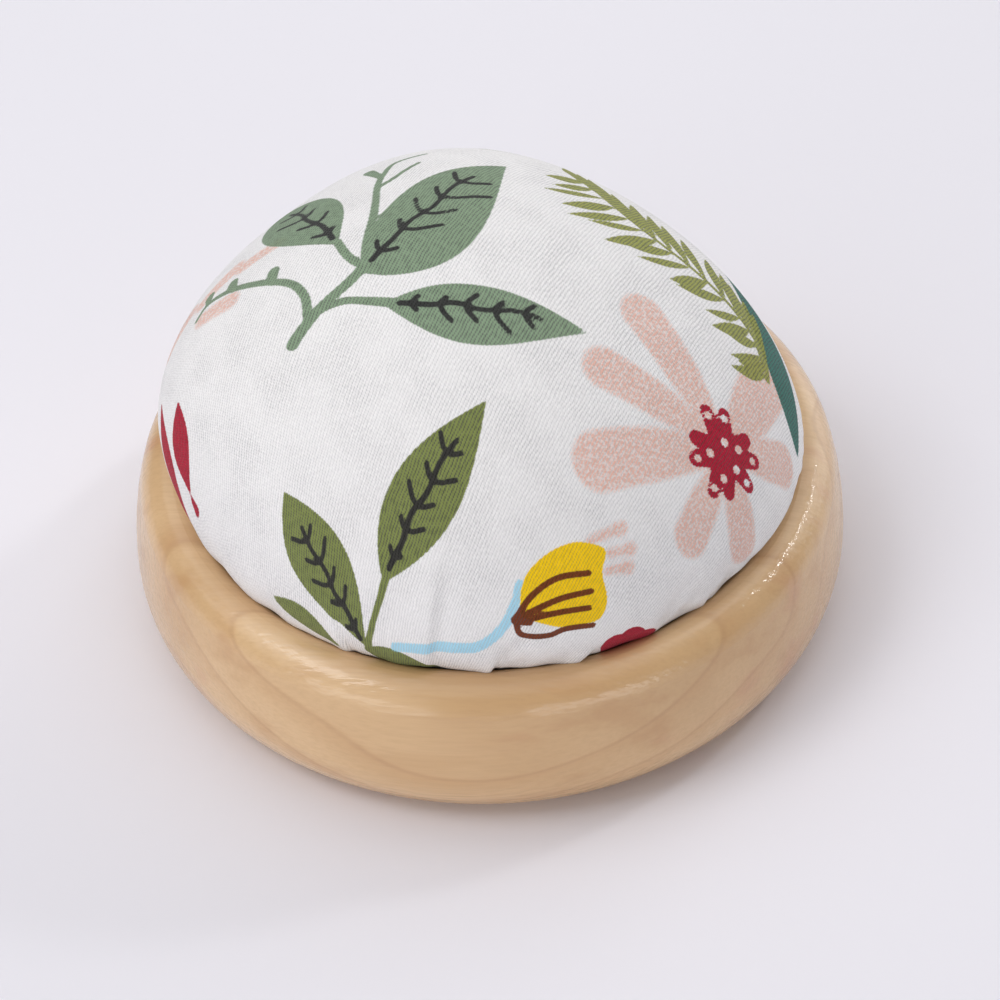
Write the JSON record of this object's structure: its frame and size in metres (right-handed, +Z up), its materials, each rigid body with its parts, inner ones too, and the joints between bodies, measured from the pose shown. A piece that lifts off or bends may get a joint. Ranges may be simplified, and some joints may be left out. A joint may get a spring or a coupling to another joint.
{
  "type": "pin cushion",
  "caption": "Round pin cushion: a stuffed, printed cotton dome set into a turned wooden dish with a full belly and a rounded rim.",
  "frame": {"origin": "centre of the flat underside of the wooden base", "axes": "+Z up along the turning axis, through the top of the dome; +Y away from the side with the bottom edge of the print"},
  "size_m": [0.085, 0.085, 0.053],
  "materials": {
    "wood": "satin",
    "glue": "satin",
    "board": "matte",
    "filling": "matte",
    "printed_cotton": "matte",
    "thread": "matte"
  },
  "bodies": {
    "root": {"wood_base": "wood", "glue_bed": "glue", "backing_disc": "board", "stuffing": "filling", "cover": "printed_cotton", "gathering_thread": "thread"}
  },
  "joints": []
}
